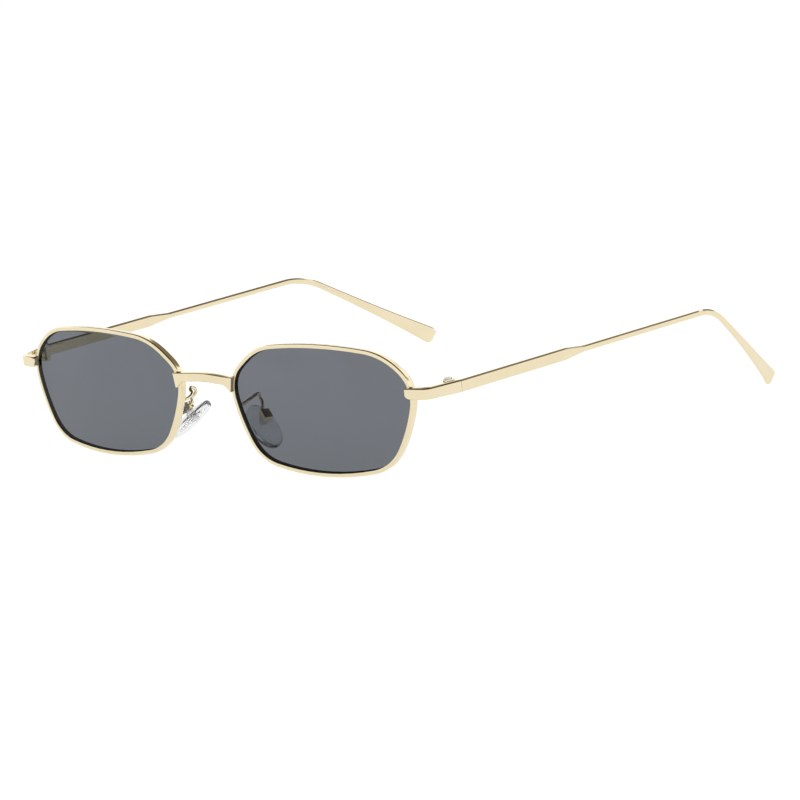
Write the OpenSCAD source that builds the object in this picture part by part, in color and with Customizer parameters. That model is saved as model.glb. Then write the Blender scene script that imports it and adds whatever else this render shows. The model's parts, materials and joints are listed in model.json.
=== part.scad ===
// Geometric sunglasses with metal rims, grey lenses, folding temples and rocking nose pads.
// X is left and right, Y runs from the front to the ears, Z is up. Left is the wearer's left.
// The glasses stand on the lower edges of the rims and on the tip of the left temple.

/* [Lenses] */
// Distance from the middle of the bridge to the centre of each lens
lens_centre_x = 34.3; // [32:0.1:38]
// Width of a lens opening across its two side corners, before they are rounded
lens_corner_w = 51.6; // [46:0.2:54]
// Height of the upper corners above the lens centre
lens_top = 12.9; // [11:0.1:16]
// Depth of the lower corners below the lens centre
lens_bottom = 12.6; // [10:0.1:16]
// Height of the two side corners above the lens centre
lens_widest_z = 5.7; // [3:0.1:7]
// From the lens centre to the upper corner on the nose side
top_nose_x = 17; // [13:0.1:17.4]
// From the lens centre to the upper corner on the temple side
top_side_x = 17.8; // [15:0.1:19]
// From the lens centre to either lower corner
bottom_x = 18.2; // [16:0.1:20]
// How far the top edge bows out
top_bow = 1.4; // [0.4:0.1:2]
// How far the bottom edge bows out
bottom_bow = 2.4; // [1:0.1:3.5]
// How far the short upper edge on the temple side bows out
upper_side_bow = 0.5; // [0.2:0.05:1.2]
// How far the lower edge on the temple side bows out
lower_side_bow = 1.4; // [0.4:0.1:2]
// How far the short upper edge on the nose side bows out
upper_nose_bow = 0.1; // [0:0.05:1.2]
// How far the lower edge on the nose side bows out
lower_nose_bow = 1.4; // [0.4:0.1:2]
// Length of edge that each corner's rounding takes up
corner_round = 4.5; // [2:0.1:5.3]
// Thickness of a lens
lens_t = 1.3; // [1:0.05:1.5]
// How far a lens sits behind the front face of its rim
lens_setback = 0.35; // [0.15:0.05:0.4]

/* [Face curve] */
// Angle that each lens is turned back towards its temple
wrap = 4; // [0:0.5:8]
// Radius of the lens curve from side to side
across_r = 195; // [120:5:400]
// Radius of the lens curve from top to bottom
down_r = 550; // [200:10:900]

/* [Rims] */
// Width of a rim's front face
rim_face_w = 0.95; // [0.85:0.05:1.5]
// Depth of a rim from front to back
rim_depth = 2; // [1.95:0.05:2.6]
// Depth of the lens groove inside a rim
lens_groove = 0.45; // [0.3:0.05:0.5]
// Depth of the shallow groove round the outside of a rim
rim_flute = 0.12; // [0.05:0.01:0.2]
// Width of the cut through each rim between its closing blocks
rim_cut = 0.2; // [0.1:0.05:0.4]

/* [Bridge] */
// Half the length of the bridge
bridge_reach = 9.4; // [9:0.1:10]
// Thickness of the bridge from front to back
bridge_t = 1.2; // [0.8:0.1:2]
// Height of the bridge in the middle
bridge_h = 2.1; // [1.2:0.1:2.8]
// Height of the bridge at its flared ends
bridge_end_h = 3.3; // [2.4:0.1:3.6]
// Level of the bridge's top edge at its ends, above the lens centres
bridge_top_z = 6; // [4.9:0.1:6.6]
// Rise of the bridge's top edge in the middle
bridge_rise = 0.7; // [0:0.1:1.5]

/* [Endpieces] */
// Half the distance between the outer faces where the temples meet the endpieces
seam_x = 67.2; // [66:0.1:70]
// Distance of that seam behind the line where the planes of the two lenses meet
seam_y = 14.8; // [13.5:0.1:17]
// Level of the middle of the seam above the lens centres
seam_z = 4.9; // [4.6:0.05:5.4]
// How far the outer corner of an endpiece sits in from its seam
corner_inset = 2.5; // [1.7:0.1:3.2]
// Thickness of an endpiece
endpiece_t = 1.4; // [0.9:0.1:1.5]
// Height of an endpiece on the rim
endpiece_front_h = 2.8; // [2:0.1:3.2]
// Height of an endpiece at the seam
endpiece_seam_h = 3; // [2:0.1:3.2]

/* [Hinges] */
// Radius of the hinge knuckles
knuckle_r = 1.2; // [1:0.05:1.3]
// Radius of the hinge screw's shank
hinge_screw_r = 0.6; // [0.4:0.05:0.7]
// Height of the knuckle on the temple
temple_knuckle_h = 1.4; // [1.2:0.1:1.8]
// Height of each of the two knuckles on the endpiece
front_knuckle_h = 1; // [0.9:0.05:1.5]
// Free space above and below the temple's knuckle
knuckle_gap = 0.05; // [0.03:0.01:0.1]
// Thickness of the hinge leaves
leaf_t = 0.8; // [0.6:0.05:0.9]
// Length of the leaf on the temple
temple_leaf_l = 8; // [5:0.5:12]

/* [Temples] */
// Length of a temple from the seam to the start of the ear bend
temple_l = 91; // [80:0.5:110]
// Length of a temple from the end of the ear bend to its tip
ear_l = 39.5; // [30:0.5:48]
// Angle of the ear bend
ear_bend = 31.4; // [20:0.2:45]
// Angle by which the left temple is bent down further, and the right one less
ear_skew = 1.5; // [0:0.1:2]
// Radius of the ear bend
ear_bend_r = 25; // [15:1:40]
// Length of the wide front part of a temple
wide_l = 38.5; // [20:0.5:60]
// Length over which the wide part narrows
taper_l = 7; // [4:0.5:12]
// Height of a temple at the seam
temple_wide_h = 3; // [2:0.1:3.2]
// Height of a temple along its slim part
temple_slim_h = 1.5; // [1.2:0.1:2]
// Height of the paddle at the tip
tip_h = 4.9; // [3:0.1:6]
// Thickness of a temple
temple_t = 1.1; // [0.9:0.05:1.3]
// How far the tips are bent in towards the head
tip_inset = 11.2; // [2:0.2:13]
// How much further in the left tip is bent, and the right one less
tip_skew = 0.8; // [0:0.1:1]
// Angle by which a temple runs in towards the head
temple_splay = -0.2; // [-1:0.1:3]
// Angle by which a temple falls from the seam, before the lean is added
temple_fall = 1.4; // [0.8:0.1:3]
// Angle by which the left temple sits lower and the right one higher
temple_twist = 0.45; // [0:0.05:0.8]

/* [Nose pads] */
// Half the distance between the centres of the nose pads
pad_x = 11.8; // [11.4:0.1:12.2]
// Distance of the pad centres behind the front of the bridge
pad_y = 7.3; // [7.1:0.1:7.9]
// Level of the pad centres below the lens centres
pad_drop = 6.9; // [6.4:0.1:7.4]
// Angle by which the pads spread apart downward
pad_spread = 50; // [46:1:54]
// Angle by which the pads' front edges turn towards each other
pad_turn = 12; // [8:1:18]
// Angle by which the pads' lower ends lean forward
pad_lean = 6; // [2:1:10]
// Length of a nose pad
pad_l = 12.8; // [11:0.2:13.6]
// Width of a nose pad
pad_w = 7; // [5:0.2:8]
// Thickness of a nose pad
pad_t = 2.8; // [2.2:0.1:3]
// Diameter of the wire of the pad arms
arm_d = 0.9; // [0.7:0.05:1.1]
// Radius of the pad screw's shank
pad_screw_r = 0.4; // [0.3:0.05:0.45]

/* [Hidden] */

gold = "#e6d6ae";
steel = "#c9c9cc";
lens_grey = "#4c5157";
pad_clear = "#e3e8ec";
core_clear = "#b9bfc4";

// Clearance between pieces that are brazed or seated together
seat = 0.02;
// Radial clearance of a shank in its bore
running = 0.03;
// Intervals on each outline edge and on each outline corner
edge_steps = 7;
corner_steps = 6;
// Number of sides of round pieces
round_fn = 48;
// Width of the driver slots in the screw heads
slot_w = 0.24;

// Outline of the left lens opening, looking from the front, as distances from the lens centre

outline_corners = [
    [-top_nose_x, lens_top],
    [top_side_x, lens_top],
    [lens_corner_w / 2, lens_widest_z],
    [bottom_x, -lens_bottom],
    [-bottom_x, -lens_bottom],
    [-lens_corner_w / 2, lens_widest_z]
];
outline_bows = [top_bow, upper_side_bow, lower_side_bow, bottom_bow, lower_nose_bow, upper_nose_bow];

function wrapped(list, i) = list[(i + len(list)) % len(list)];
function unit(v) = v / norm(v);
function left_of(d) = [-d[1], d[0]];
function edge_length(i) = norm(wrapped(outline_corners, i + 1) - wrapped(outline_corners, i));
function edge_point(i, t) =
    let (a = wrapped(outline_corners, i), b = wrapped(outline_corners, i + 1))
    a + t * (b - a) + 4 * wrapped(outline_bows, i) * t * (1 - t) * left_of(unit(b - a));
function edge_direction(i, t) =
    let (a = wrapped(outline_corners, i), b = wrapped(outline_corners, i + 1), along = unit(b - a))
    unit(b - a + 4 * wrapped(outline_bows, i) * (1 - 2 * t) * left_of(along));
function corner_point(i, t) =
    let (
        before = i - 1,
        t_in = 1 - corner_round / edge_length(before),
        t_out = corner_round / edge_length(i),
        a = edge_point(before, t_in),
        b = edge_point(i, t_out),
        pull_a = a + corner_round * edge_direction(before, t_in),
        pull_b = b - corner_round * edge_direction(i, t_out),
        pull = (pull_a + pull_b) / 2
    )
    (1 - t) * (1 - t) * a + 2 * t * (1 - t) * pull + t * t * b;
function straight_point(i, t) =
    let (t_from = corner_round / edge_length(i), t_to = 1 - t_from)
    edge_point(i, t_from + t * (t_to - t_from));

outline = [
    for (i = [0:5]) each concat(
        [for (k = [0:corner_steps - 1]) corner_point(i, k / corner_steps)],
        [for (k = [0:edge_steps - 1]) straight_point(i, k / edge_steps)]
    )
];
outline_n = len(outline);
outline_out = [
    for (i = [0:outline_n - 1])
        left_of(unit(wrapped(outline, i + 1) - wrapped(outline, i - 1)))
];
function outline_at(i, out) = outline[i] + out * outline_out[i];

// The face curve: u runs along the lens, v is up, depth is behind the rim's front face

function face_w(u, v) = u * u / (2 * across_r) + v * v / (2 * down_r);
function face_point(p, depth) =
    let (u = p[0] + lens_centre_x, w = face_w(p[0], p[1]) + depth)
    [u * cos(wrap) - w * sin(wrap), u * sin(wrap) + w * cos(wrap), p[1]];
nose_face_y = face_point([-lens_corner_w / 2, lens_widest_z], 0)[1];
front_y = nose_face_y - seat - bridge_t;

// Meshes made of rings of points

function ring_faces(rings, sides, closed) = [
    for (i = [0:rings - (closed ? 1 : 2)], j = [0:sides - 1])
        let (
            i2 = (i + 1) % rings,
            j2 = (j + 1) % sides,
            a = i * sides + j,
            b = i * sides + j2,
            c = i2 * sides + j2,
            d = i2 * sides + j
        )
        each [[a, b, c], [a, c, d]]
];
module ring_mesh(rings, closed = false) {
    sides = len(rings[0]);
    count = len(rings);
    points = [for (r = rings) each r];
    first_cap = [for (j = [sides - 1:-1:0]) j];
    last_cap = [for (j = [0:sides - 1]) (count - 1) * sides + j];
    caps = closed ? [] : [first_cap, last_cap];
    polyhedron(points, concat(ring_faces(count, sides, closed), caps));
}

// Section of a flat bar: middle, unit vectors across and up, sizes and the bevel of its edges
function bar_section(middle, across, up, t, h, bevel) = [
    for (q = [
        [-t / 2 + bevel, -h / 2], [t / 2 - bevel, -h / 2], [t / 2, -h / 2 + bevel], [t / 2, h / 2 - bevel],
        [t / 2 - bevel, h / 2], [-t / 2 + bevel, h / 2], [-t / 2, h / 2 - bevel], [-t / 2, -h / 2 + bevel]
    ]) middle + q[0] * across + q[1] * up
];

// Rims and lenses

rim_edge = 0.1;
rim_shoulder = 0.26;
flute_w = 0.6;
groove_w = lens_t - 0.1;
groove_y = lens_setback + lens_t / 2;
rim_section = [
    [0, rim_edge],
    [rim_edge, 0],
    [rim_face_w - rim_shoulder, 0],
    [rim_face_w, rim_shoulder],
    [rim_face_w, (rim_depth - flute_w) / 2 + rim_edge],
    [rim_face_w - rim_flute, rim_depth / 2 + rim_edge],
    [rim_face_w, (rim_depth + flute_w) / 2 + rim_edge],
    [rim_face_w, rim_depth - rim_edge],
    [rim_face_w - rim_edge, rim_depth],
    [0, rim_depth],
    [0, groove_y + groove_w / 2],
    [lens_groove, groove_y],
    [0, groove_y - groove_w / 2]
];
side_x = lens_centre_x + lens_corner_w / 2;
// Where the rim is cut, on its front face
cut_place = face_point([lens_corner_w / 2, seam_z], 0);

function rim_ring(i) = [for (q = rim_section) face_point(outline_at(i, q[0]), q[1])];
module rim() {
    color(gold) difference() {
        ring_mesh([for (i = [0:outline_n - 1]) rim_ring(i)], true);
        translate([cut_place[0] - 2 * rim_depth, cut_place[1] - rim_depth, seam_z - rim_cut / 2])
            cube([4 * rim_depth, 4 * rim_depth, rim_cut]);
    }
}

// Rings of points over a lens, as shares of its outline
lens_rings = [1, 0.75, 0.5, 0.25];
bevel_tip = lens_groove - 2 * seat;
function lens_ring(share, depth) = [
    for (i = [0:outline_n - 1]) face_point(share * outline_at(i, -seat), depth)
];
module lens() {
    last = len(lens_rings) - 1;
    half_edge = groove_w / 2 - 2 * seat;
    edge_rings = [
        for (q = [[-seat, groove_y + half_edge], [bevel_tip, groove_y], [-seat, groove_y - half_edge]])
            [for (i = [0:outline_n - 1]) face_point(outline_at(i, q[0]), q[1])]
    ];
    color(lens_grey) ring_mesh(concat(
        [for (k = [last:-1:0]) lens_ring(lens_rings[k], lens_setback + lens_t)],
        edge_rings,
        [for (k = [0:last]) lens_ring(lens_rings[k], lens_setback)]
    ));
}

// Bridge

bridge_steps = 24;
bridge_bevel = 0.45;
// The ends lean in below, by this share of the reach
bridge_slant = 0.05;
// The arch: 1 in the middle, 0 at the ends
function arch(x) = pow(cos(90 * x / bridge_reach), 2);
// The flare: 0 over the middle part, 1 at the ends
flare_start = 0.7;
function bridge_flare(x) = pow(max(0, abs(x) / bridge_reach - flare_start) / (1 - flare_start), 1.6);
module bridge_bar() {
    rings = [
        for (k = [0:bridge_steps])
            let (
                x = bridge_reach * (2 * k / bridge_steps - 1),
                h = bridge_h + (bridge_end_h - bridge_h) * bridge_flare(x),
                top = bridge_top_z + bridge_rise * arch(x),
                u = abs(x) - lens_centre_x,
                y = min(nose_face_y, face_point([u, bridge_top_z - h / 2], 0)[1]) - seat - bridge_t / 2
            )
            [
                for (p = bar_section([x, y, top - h / 2], [0, -1, 0], [0, 0, 1], bridge_t, h, bridge_bevel))
                    [p[0] * (1 - bridge_slant * (top - p[2]) / h), p[1], p[2]]
            ]
    ];
    color(gold) ring_mesh(rings);
}

// Endpieces: a flat bar on the rim's front face that turns back to the seam

endpiece_lap = 0.8;
endpiece_start = side_x - endpiece_lap;
endpiece_bevel = 0.25;
// The rounded inner end: [distance from its edge, share of the full height]
inner_end = [[0, 0.5], [0.4, 0.8], [1.2, 1]];
// Share of the height lost at the inner end that comes off below instead of above
inner_end_lift = 0.35;
corner_fillet = 2;
corner_x = seam_x - corner_inset;
front_slope = wrap + asin((corner_x - lens_centre_x) / across_r) - 1;
endpiece_start_y = face_point([endpiece_start - lens_centre_x, seam_z], 0)[1] - seat - endpiece_t;
corner_y = endpiece_start_y + (corner_x - endpiece_start) * tan(front_slope);
side_angle = atan((seam_x - corner_x) / (seam_y - corner_y));
turn_steps = 8;

function endpiece_path(k) = k <= turn_steps
    ? let (
        a = corner_fillet * [-cos(front_slope), -sin(front_slope)],
        b = corner_fillet * [sin(side_angle), cos(side_angle)],
        t = k / turn_steps
    ) [corner_x, corner_y] + (1 - t) * (1 - t) * a + t * t * b
    : [seam_x, seam_y];
function endpiece_heading(k) = k > turn_steps
    ? 90 - side_angle
    : front_slope + (90 - side_angle - front_slope) * k / turn_steps;

module endpiece() {
    start = [endpiece_start, endpiece_start_y];
    along = [cos(front_slope), sin(front_slope)];
    stations = concat(
        [for (r = inner_end) [start + r[0] * along, front_slope, r[1] * endpiece_front_h]],
        [for (k = [0:turn_steps]) [endpiece_path(k), endpiece_heading(k), endpiece_front_h]],
        [[endpiece_path(turn_steps + 1), endpiece_heading(turn_steps + 1), endpiece_seam_h]]
    );
    rings = [
        for (s = stations)
            let (
                inward = [-sin(s[1]), cos(s[1]), 0],
                lift = max(0, inner_end_lift * (endpiece_front_h - s[2])),
                middle = [s[0][0], s[0][1], seam_z + lift] + endpiece_t / 2 * inward
            )
            bar_section(middle, -inward, [0, 0, 1], endpiece_t, s[2], endpiece_bevel)
    ];
    color(gold) intersection() {
        ring_mesh(rings);
        translate([0, -seam_y, seam_z - endpiece_seam_h]) cube([2 * seam_x, 2 * seam_y, 2 * endpiece_seam_h]);
    }
}

// Closing blocks: two halves beside the cut in the rim, held together by a screw

block_out = 2.7;
block_h = 0.8;
block_d = 1.8;
block_gap = 0.3;
block_front = face_w(corner_x - lens_centre_x - 1, seam_z) + block_gap;
block_screw_u = 1.5;
block_screw_r = 0.4;
block_screw_head_r = 0.65;
block_screw_head_h = 0.35;
// The rim's outer wall on the temple side: its points between two levels, and its place at one level
wall = [for (i = [0:outline_n - 1]) outline_at(i, rim_face_w + seat)];
function wall_points(low, high) = [for (p = wall) if (p[0] > 0 && p[1] > low && p[1] < high) p];
function wall_x(z) = [
    for (i = [0:outline_n - 1])
        let (a = wall[i], b = wall[(i + 1) % outline_n])
        if (a[0] > 0 && b[0] > 0 && a[1] >= z && b[1] < z) a[0] + (b[0] - a[0]) * (a[1] - z) / (a[1] - b[1])
][0];
block_screw_x = lens_corner_w / 2 + rim_face_w + block_screw_u;
module along_face(from, depth) {
    rotate([0, 0, wrap]) translate([lens_centre_x, from + depth, 0]) rotate([90, 0, 0])
        linear_extrude(depth) children();
}
module closing_block(low, high) {
    outer = lens_corner_w / 2 + rim_face_w + block_out;
    color(gold) difference() {
        along_face(block_front, block_d) polygon(concat(
            [[wall_x(high), high]], wall_points(low, high), [[wall_x(low), low], [outer, low], [outer, high]]
        ));
        closing_screw_place() translate([0, 0, -2 * block_h])
            cylinder(h = 4 * block_h, r = block_screw_r + running, $fn = round_fn);
        closing_screw_place() translate([0, 0, block_h + rim_cut / 2 - block_screw_head_h])
            cylinder(h = block_h, r = block_screw_head_r + running, $fn = round_fn);
    }
}
module closing_screw_place() {
    rotate([0, 0, wrap]) translate([lens_centre_x + block_screw_x, block_front + block_d / 2, seam_z])
        children();
}
module upper_closing_block() { closing_block(seam_z + rim_cut / 2, seam_z + rim_cut / 2 + block_h); }
module lower_closing_block() { closing_block(seam_z - rim_cut / 2 - block_h, seam_z - rim_cut / 2); }
module closing_screw() {
    top = block_h + rim_cut / 2;
    under_head = top - block_screw_head_h + seat;
    color(steel) closing_screw_place() difference() {
        union() {
            translate([0, 0, -top]) cylinder(h = top + under_head, r = block_screw_r, $fn = round_fn);
            translate([0, 0, under_head])
                cylinder(h = block_screw_head_h, r = block_screw_head_r, $fn = round_fn);
        }
        translate([-1.5 * block_screw_head_r, -slot_w / 2, under_head + block_screw_head_h / 2])
            cube([3 * block_screw_head_r, slot_w, block_screw_head_h]);
    }
}

// Hinges: two knuckles on the endpiece, one on the temple, and a screw through them

pin_back = 0.9;
seam_gap = 0.06;
side_inner_x = seam_x - endpiece_t / cos(side_angle);
leaf_gap = 0.06;
pin_x = side_inner_x - pin_back * tan(side_angle) - (knuckle_r + leaf_gap) / cos(side_angle);
pin_y = seam_y - pin_back;
stack_h = temple_knuckle_h + 2 * front_knuckle_h + 2 * knuckle_gap;
front_leaf_l = 4.8;
front_leaf_h = 2.4;
leaf_clear = 2.7;
screw_head_r = 0.9;
screw_head_h = 0.2;
neck_l = 2.2;
neck_start = 0.4;

// A flat plate on the endpiece's inner face, from one distance behind the seam to another
module leaf_strip(from, to, t) {
    translate([side_inner_x, seam_y]) rotate(-side_angle) translate([-t - seat, -to]) square([t, to - from]);
}
module hinge_bore() {
    translate([pin_x, pin_y, seam_z - stack_h])
        cylinder(h = 2 * stack_h, r = hinge_screw_r + running, $fn = round_fn);
}
module front_hinge_leaf() {
    arm_l = leaf_clear + leaf_t / 2;
    half = temple_knuckle_h / 2 + knuckle_gap;
    color(gold) difference() {
        union() {
            translate([0, 0, seam_z - front_leaf_h / 2]) linear_extrude(front_leaf_h)
                leaf_strip(leaf_clear, front_leaf_l, leaf_t);
            for (low = [-half - front_knuckle_h, half])
                translate([0, 0, seam_z + low]) linear_extrude(front_knuckle_h) {
                    leaf_strip(neck_start, arm_l, leaf_t);
                    leaf_strip(neck_start, neck_l, knuckle_r);
                    translate([pin_x, pin_y]) circle(r = knuckle_r, $fn = round_fn);
                }
        }
        hinge_bore();
    }
}
module temple_hinge_leaf() {
    inner = seam_x - temple_t - seat;
    neck_y = seam_y + 2 * seam_gap;
    neck_d = 0.7;
    low = seam_z - temple_knuckle_h / 2;
    color(gold) difference() {
        union() {
            translate([pin_x, pin_y, low]) cylinder(h = temple_knuckle_h, r = knuckle_r, $fn = round_fn);
            translate([pin_x, pin_y, low])
                cube([knuckle_r - leaf_gap, neck_y + neck_d - pin_y, temple_knuckle_h]);
            translate([pin_x, neck_y, low]) cube([inner - leaf_t / 2 - pin_x, neck_d, temple_knuckle_h]);
            translate([seam_x, neck_y, low]) rotate([0, 0, temple_splay])
                translate([inner - leaf_t - seam_x, 0, 0]) cube([leaf_t, temple_leaf_l, temple_knuckle_h]);
        }
        hinge_bore();
    }
}
module hinge_screw() {
    top = seam_z + stack_h / 2 + seat;
    color(steel) difference() {
        union() {
            translate([pin_x, pin_y, top - stack_h - seat])
                cylinder(h = stack_h + seat, r = hinge_screw_r, $fn = round_fn);
            translate([pin_x, pin_y, top]) cylinder(h = screw_head_h, r = screw_head_r, $fn = round_fn);
        }
        translate([pin_x - 1.5 * screw_head_r, pin_y - slot_w / 2, top + screw_head_h / 2])
            cube([3 * screw_head_r, slot_w, screw_head_h]);
    }
}

// Temples: a flat strip that narrows, bends down behind the ear and ends in a paddle.
// Side is 1 for the left temple and -1 for the right one.

bend_steps = 10;
ear_steps = 8;
tip_slant = 0.25;
ear_droop = 0.5;
temple_bevel = 0.25;
growth_power = 3.5;
inset_power = 1.2;
// The last three sections round the paddle's corners off: [distance from the tip, height taken off]
tip_rounding = [[1.4, 0], [0.4, 0.9], [0, 2]];

function side_bend(side) = ear_bend + side * ear_skew;
function bend_l(side) = ear_bend_r * side_bend(side) * PI / 180;
function temple_total(side) = temple_l + bend_l(side) + ear_l;
// How far round the ear a place is: 0 where the bend starts, 1 at the tip
function ear_share(s, side) = max(0, s - temple_l) / (bend_l(side) + ear_l);
// Distance along the temple to a place in its side view: [run, rise, heading]
function temple_course(s, side) =
    let (
        b = s - temple_l,
        turned = min(max(b, 0), bend_l(side)) / ear_bend_r * 180 / PI,
        rest = max(b - bend_l(side), 0),
        droop = ear_droop * pow(rest / ear_l, 2)
    )
    [
        min(s, temple_l) + ear_bend_r * sin(turned) + rest * cos(turned) - droop * sin(turned),
        -ear_bend_r * (1 - cos(turned)) - rest * sin(turned) - droop * cos(turned),
        turned
    ];
function temple_height(s, side) =
    s < wide_l ? temple_wide_h
    : s < wide_l + taper_l ? temple_wide_h + (temple_slim_h - temple_wide_h) * (s - wide_l) / taper_l
    : temple_slim_h + (tip_h - temple_slim_h) * pow(ear_share(s, side), growth_power);
function temple_inset(s, side) = (tip_inset + side * tip_skew) * pow(ear_share(s, side), inset_power);
// Each station is [distance along the temple, height taken off]
function temple_stations(side) = concat(
    [[0, 0], [wide_l, 0], [wide_l + taper_l, 0]],
    [for (k = [0:bend_steps]) [temple_l + bend_l(side) * k / bend_steps, 0]],
    [for (k = [1:ear_steps - 1]) [temple_l + bend_l(side) + (ear_l - tip_rounding[0][0]) * k / ear_steps, 0]],
    [for (r = tip_rounding) [temple_total(side) - r[0], r[1]]]
);
function temple_ring(station, side) =
    let (
        s = station[0],
        c = temple_course(s, side),
        slant = s > temple_total(side) - 1.1 * tip_rounding[0][0] ? tip_slant : 0,
        up = [0, sin(c[2]) + slant * cos(c[2]), cos(c[2]) - slant * sin(c[2])],
        middle = [-temple_t / 2 - temple_inset(s, side), c[0], c[1]]
    )
    bar_section(middle, [1, 0, 0], up, temple_t, temple_height(s, side) - station[1], temple_bevel);
function turned_x(p, a) = [p[0], p[1] * cos(a) - p[2] * sin(a), p[1] * sin(a) + p[2] * cos(a)];
temple_start = [seam_x, seam_y + seam_gap + temple_wide_h / 2 * sin(temple_fall + temple_twist), seam_z];

module temple(side) {
    color(gold) translate(temple_start) rotate([-temple_fall - side * temple_twist, 0, temple_splay])
        ring_mesh([for (s = temple_stations(side)) temple_ring(s, side)]);
}

// Nose pads, each on a core that rocks on a screw in a box at the end of a looped arm

pad_centre = [pad_x, front_y + pad_y, -pad_drop];
pad_box_out = 2.5;
pad_box_up = 1;
box_wall = 0.3;
box_l = 2.6;
core_w = 1.5;
core_r = 0.75;
core_gap = 0.06;
// How far the core is sunk past the middle of the pad
core_sink = 0.1;
box_w = core_w + 2 * core_gap + 2 * box_wall;
box_top = core_r + 0.15;
box_reach = 0.6;

// Frame of the left pad: its X points away from the nose, its Y to the back, its Z up along the pad
module pad_frame() {
    translate(pad_centre) rotate([-pad_lean, -pad_spread, -pad_turn]) children();
}
module screw_frame() { pad_frame() translate([pad_box_out, 0, pad_box_up]) rotate([-90, 0, 0]) children(); }
module pad_bore() {
    screw_frame() translate([0, 0, -box_w])
        cylinder(h = 2 * box_w, r = pad_screw_r + running, $fn = round_fn);
}

pad_rings = 14;
pad_sides = 24;
// How near the last rings come to the pad's ends, as a share of half its length
pad_reach = 0.995;
// Share of its full width that the pad has at a height along it, from -1 to 1
function pad_share(t) = pow(1 - pow(abs(t), 2.6), 0.5);
// A cosine or sine squared up towards a flat-sided oval
function squared(c) = sign(c) * pow(abs(c), 0.75);
module nose_pad() {
    rings = [
        for (k = [0:pad_rings])
            let (t = pad_reach * cos(180 * k / pad_rings), share = pad_share(t))
            [
                for (j = [0:pad_sides - 1])
                    let (a = 360 * j / pad_sides)
                    [
                        pad_t / 2 * pow(share, 0.5) * squared(cos(a)),
                        pad_w / 2 * share * squared(sin(a)),
                        pad_l / 2 * t
                    ]
            ]
    ];
    color(pad_clear) pad_frame() difference() {
        ring_mesh(rings);
        translate([-core_sink - seat, -core_w / 2 - seat, pad_box_up - core_r - seat])
            cube([pad_t, core_w + 2 * seat, 2 * core_r + 2 * seat]);
    }
}
module pad_core() {
    color(core_clear) difference() {
        union() {
            pad_frame() translate([-core_sink, -core_w / 2, pad_box_up - core_r])
                cube([pad_box_out + core_sink, core_w, 2 * core_r]);
            screw_frame() translate([0, 0, -core_w / 2]) cylinder(h = core_w, r = core_r, $fn = round_fn);
        }
        pad_bore();
    }
}
module pad_box() {
    inner_w = core_w + 2 * core_gap;
    inner_l = box_l - 2 * box_wall;
    color(gold) difference() {
        pad_frame() translate([pad_box_out - box_reach, -box_w / 2, pad_box_up - box_l / 2])
            cube([box_reach + box_top + box_wall, box_w, box_l]);
        pad_frame() translate([0, -inner_w / 2, pad_box_up - inner_l / 2])
            cube([pad_box_out + box_top, inner_w, inner_l]);
        pad_bore();
    }
}
module pad_screw() {
    head_h = 0.4;
    head_r = 0.75;
    color(steel) screw_frame() union() {
        translate([0, 0, -box_w / 2]) cylinder(h = box_w + seat, r = pad_screw_r, $fn = round_fn);
        translate([0, 0, box_w / 2 + seat]) cylinder(h = head_h, r = head_r, $fn = round_fn);
    }
}

arm_sides = 10;
arm_steps = 6;
// Space left for the braze at either end of an arm
arm_gap = 0.06;
// Where the arm is brazed to the back of the rim, as a place on the outline and a depth
arm_foot = face_point([-lens_corner_w / 2 + 0.85, -0.9], rim_depth + arm_gap);
function in_pad_frame(p) =
    let (
        r = turned_x(p, -pad_lean),
        q = [r[0] * cos(pad_spread) - r[2] * sin(pad_spread), r[1], r[0] * sin(pad_spread) + r[2] * cos(pad_spread)]
    )
    pad_centre + [
        q[0] * cos(pad_turn) + q[1] * sin(pad_turn),
        -q[0] * sin(pad_turn) + q[1] * cos(pad_turn),
        q[2]
    ];
arm_end = in_pad_frame([pad_box_out + 0.3, 0, pad_box_up + box_l / 2 + arm_gap]);
arm_tail = in_pad_frame([pad_box_out + 0.3, 0, pad_box_up + box_l / 2 + 0.8]);
// The loop of the arm, as steps from its foot: back, up and out, round the top, then down to the box
arm_points = [
    arm_foot,
    arm_foot + [0, 0.9, 0.05],
    arm_foot + [0.3, 2.8, 0.8],
    arm_foot + [1.2, 3.3, 1.7],
    arm_foot + [1.4, 4.2, 1.9],
    arm_foot + [1.1, 5.1, 0.9],
    arm_tail + [0.2, 0.2, 0.8],
    arm_tail,
    arm_end
];
function spline(p, i, t) =
    let (a = p[max(i - 1, 0)], b = p[i], c = p[i + 1], d = p[min(i + 2, len(p) - 1)])
    0.5 * (2 * b + (c - a) * t + (2 * a - 5 * b + 4 * c - d) * t * t + (3 * b - 3 * c + d - a) * t * t * t);
module pad_arm() {
    path = concat(
        [for (i = [0:len(arm_points) - 2], k = [0:arm_steps - 1]) spline(arm_points, i, k / arm_steps)],
        [arm_end]
    );
    last = len(path) - 1;
    rings = [
        for (i = [0:last])
            let (
                along = unit(path[min(i + 1, last)] - path[max(i - 1, 0)]),
                side = unit(cross(along, [1, 0.2, 0.1])),
                up = cross(side, along)
            )
            [
                for (j = [0:arm_sides - 1])
                    let (a = 360 * j / arm_sides)
                    path[i] + arm_d / 2 * (cos(a) * side + sin(a) * up)
            ]
    ];
    color(gold) ring_mesh(rings);
}

// Standing: leaned until the rims and the left tip are level, then set on the floor

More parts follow.
